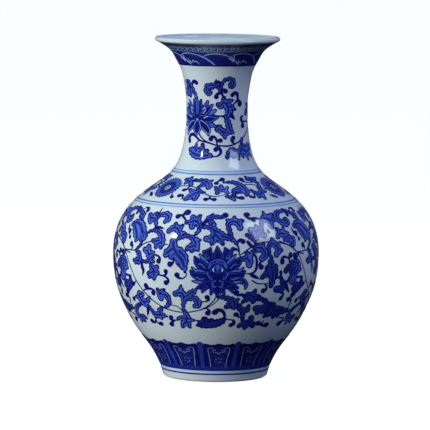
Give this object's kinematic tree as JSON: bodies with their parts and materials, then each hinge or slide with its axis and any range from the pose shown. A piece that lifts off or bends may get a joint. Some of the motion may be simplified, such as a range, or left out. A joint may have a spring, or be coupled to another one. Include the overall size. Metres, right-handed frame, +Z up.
{
  "type": "porcelain vase",
  "caption": "Blue-and-white porcelain bottle vase with a trumpet mouth, a slender neck, a globular belly and a turned foot ring.",
  "frame": {"origin": "on the vase's axis, in the plane that the foot ring stands on", "axes": "+Z up along the axis from the foot to the mouth; +X and +Y across"},
  "size_m": [0.2174, 0.2174, 0.36],
  "materials": {
    "biscuit": "bare fired clay, finely ground",
    "porcelain": "bare fired porcelain under the glaze",
    "painted_glaze": "clear gloss glaze over cobalt painting",
    "clear_glaze": "clear gloss glaze"
  },
  "bodies": {
    "root": {"foot_ring": "biscuit", "lower_body": "porcelain", "upper_body": "porcelain", "neck": "porcelain", "mouth": "porcelain", "outer_glaze": "painted_glaze", "inner_glaze": "clear_glaze", "base_glaze": "clear_glaze"}
  },
  "joints": []
}
